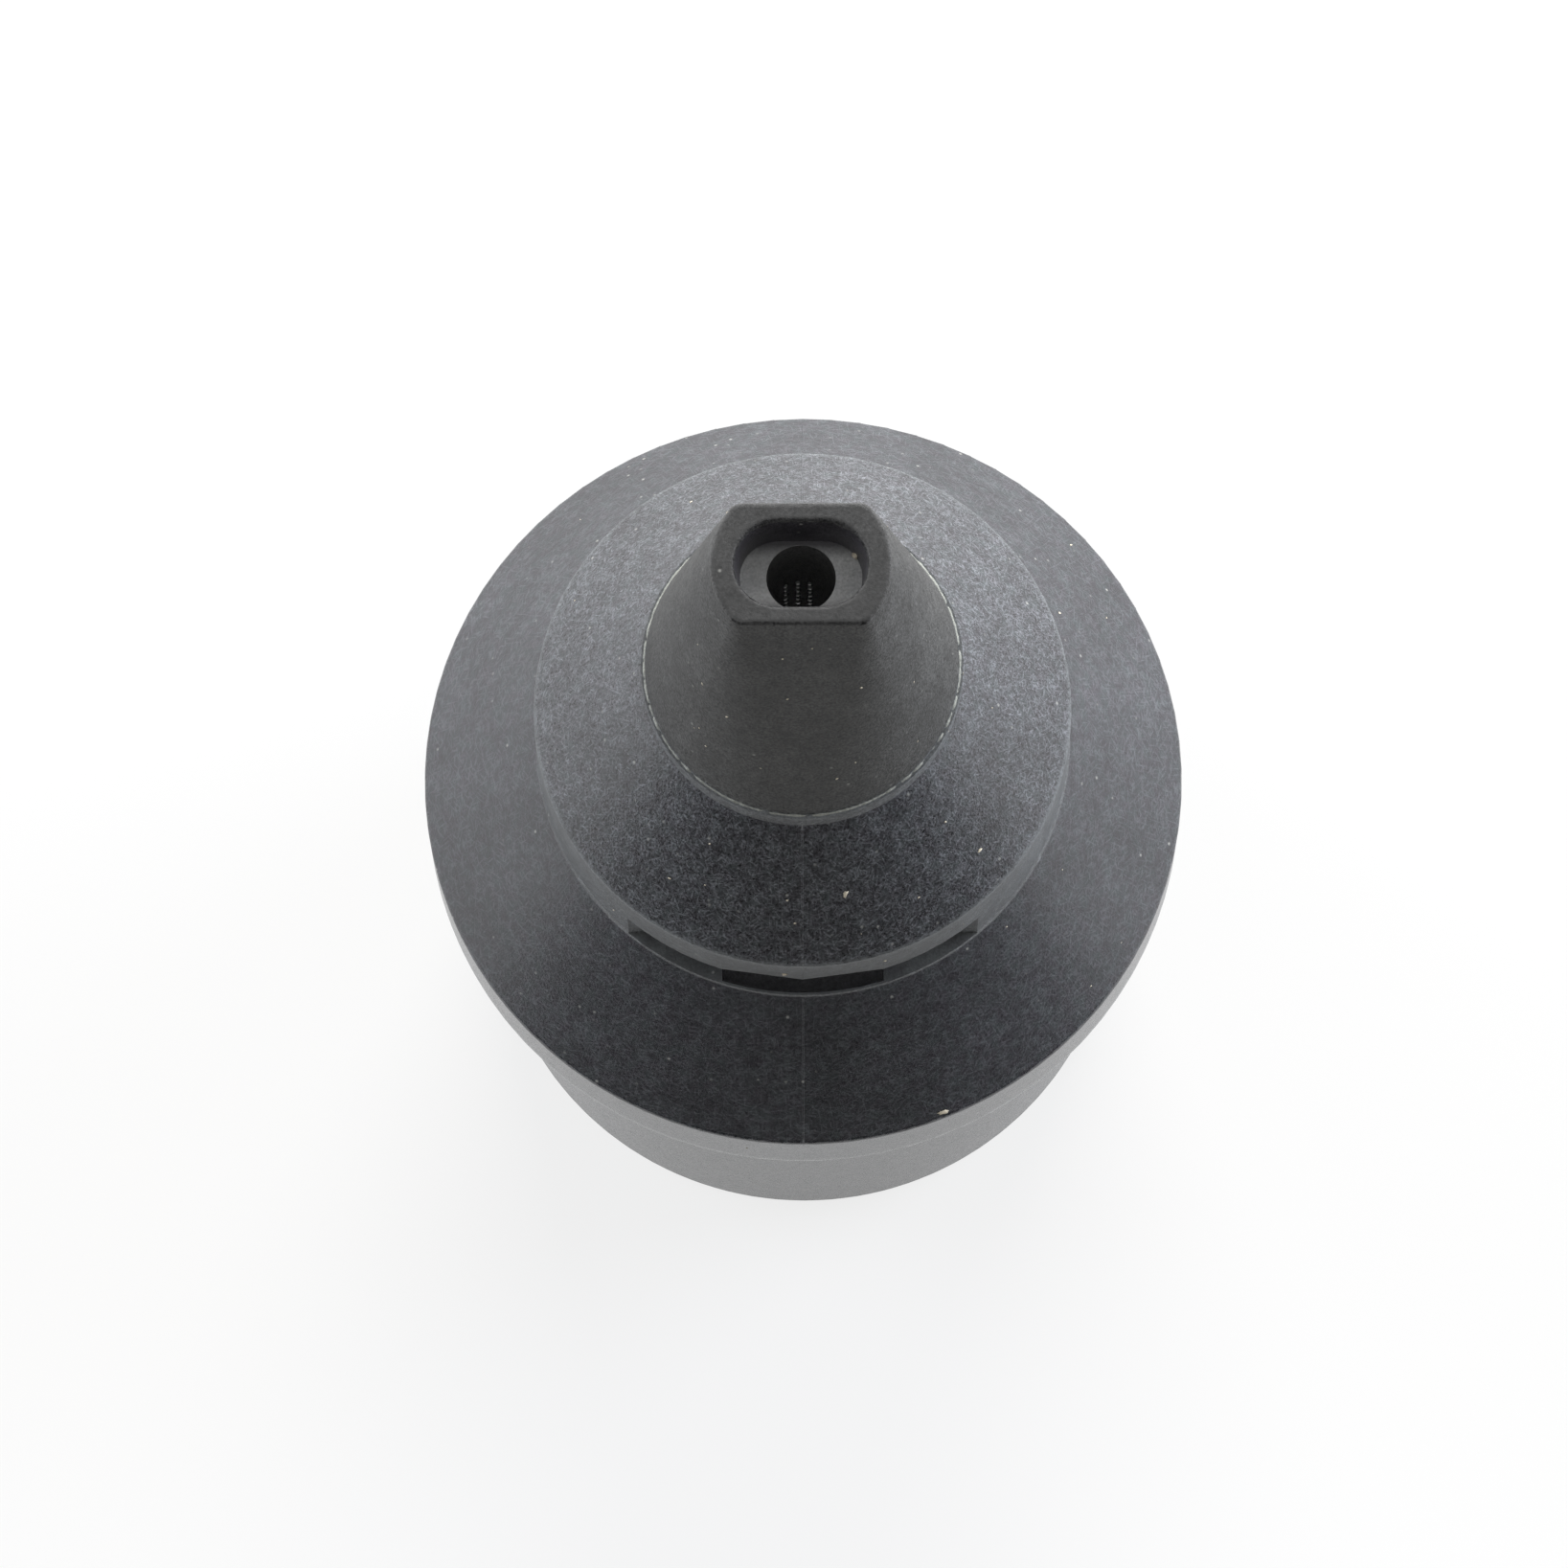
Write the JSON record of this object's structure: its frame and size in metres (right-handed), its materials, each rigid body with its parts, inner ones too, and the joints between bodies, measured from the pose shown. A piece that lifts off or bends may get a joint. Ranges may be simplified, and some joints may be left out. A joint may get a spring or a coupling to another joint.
{
  "type": "smt pick up nozzle",
  "caption": "Moulded black vacuum pick-up nozzle with a flattened tip, stepped cones, a fork-slotted neck, a flange and a clip-on socket for a placement head's sleeve.",
  "frame": {"origin": "centre of the socket's mouth, on the plane that the nozzle stands on", "axes": "+Z along the vacuum way towards the suction tip; the fork slots and the flats of the tip face -Y and +Y"},
  "size_m": [0.013, 0.013, 0.0198],
  "materials": {
    "black_polymer": "black carbon-fibre-filled liquid crystal polymer, as moulded, satin with fine fibre streaks"
  },
  "bodies": {
    "root": {"nozzle_body": "black_polymer"}
  },
  "joints": []
}
